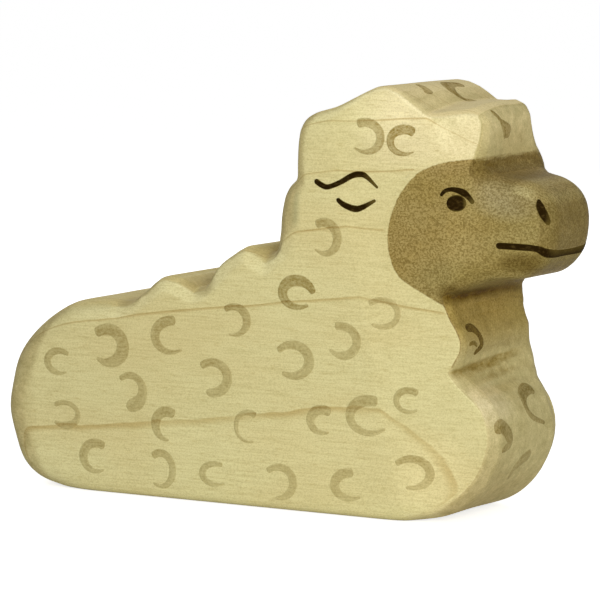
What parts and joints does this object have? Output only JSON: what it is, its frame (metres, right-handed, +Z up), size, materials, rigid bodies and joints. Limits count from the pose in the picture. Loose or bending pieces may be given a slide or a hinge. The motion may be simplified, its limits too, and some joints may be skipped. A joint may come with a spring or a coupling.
{
  "type": "wooden lamb figure",
  "caption": "Lying lamb sawn from one pale wooden board, with rounded edges, a scalloped back, a stained face and painted wool curls.",
  "frame": {"origin": "on the surface that the lamb stands on, under the middle of its length and of its thickness", "axes": "+X towards the nose, +Y towards the lamb's left side, +Z up"},
  "size_m": [0.103, 0.0286, 0.071],
  "materials": {
    "pale_wood": "sanded pale wood under a thin matt oil",
    "face_stain": "grey-brown stain soaked into the wood, matt",
    "dark_paint": "thin dark brown brush paint on wood",
    "wool_paint": "thin tan glaze brushed on wood"
  },
  "bodies": {
    "root": {"wooden_body": "pale_wood", "face_stain": "face_stain", "eye_right": "dark_paint", "eye_left": "dark_paint", "nostril_right": "dark_paint", "nostril_left": "dark_paint", "mouth_line": "dark_paint", "ear_upper_right": "dark_paint", "ear_lower_right": "dark_paint", "ear_upper_left": "dark_paint", "ear_lower_left": "dark_paint", "wool_curl_breast": "wool_paint", "wool_curl_chest": "wool_paint", "wool_curl_crown": "wool_paint", "wool_curl_left_1": "wool_paint", "wool_curl_left_2": "wool_paint", "wool_curl_left_3": "wool_paint", "wool_curl_left_4": "wool_paint", "wool_curl_left_5": "wool_paint", "wool_curl_left_6": "wool_paint", "wool_curl_left_7": "wool_paint", "wool_curl_left_8": "wool_paint", "wool_curl_left_9": "wool_paint", "wool_curl_left_10": "wool_paint", "wool_curl_left_11": "wool_paint", "wool_curl_left_12": "wool_paint", "wool_curl_left_13": "wool_paint", "wool_curl_left_14": "wool_paint", "wool_curl_left_15": "wool_paint", "wool_curl_left_16": "wool_paint", "wool_curl_neck": "wool_paint", "wool_curl_right_1": "wool_paint", "wool_curl_right_2": "wool_paint", "wool_curl_right_3": "wool_paint", "wool_curl_right_4": "wool_paint", "wool_curl_right_5": "wool_paint", "wool_curl_right_6": "wool_paint", "wool_curl_right_7": "wool_paint", "wool_curl_right_8": "wool_paint", "wool_curl_right_9": "wool_paint", "wool_curl_right_10": "wool_paint", "wool_curl_right_11": "wool_paint", "wool_curl_right_12": "wool_paint", "wool_curl_right_13": "wool_paint", "wool_curl_right_14": "wool_paint", "wool_curl_right_15": "wool_paint", "wool_curl_right_16": "wool_paint", "wool_curl_right_17": "wool_paint", "wool_curl_right_18": "wool_paint", "wool_curl_right_19": "wool_paint", "wool_curl_right_20": "wool_paint", "wool_curl_right_21": "wool_paint", "wool_curl_right_22": "wool_paint", "wool_curl_right_23": "wool_paint", "wool_curl_right_24": "wool_paint", "wool_curl_right_25": "wool_paint", "wool_stroke_breast": "wool_paint", "wool_stroke_crown": "wool_paint", "wool_stroke_forehead": "wool_paint"}
  },
  "joints": []
}
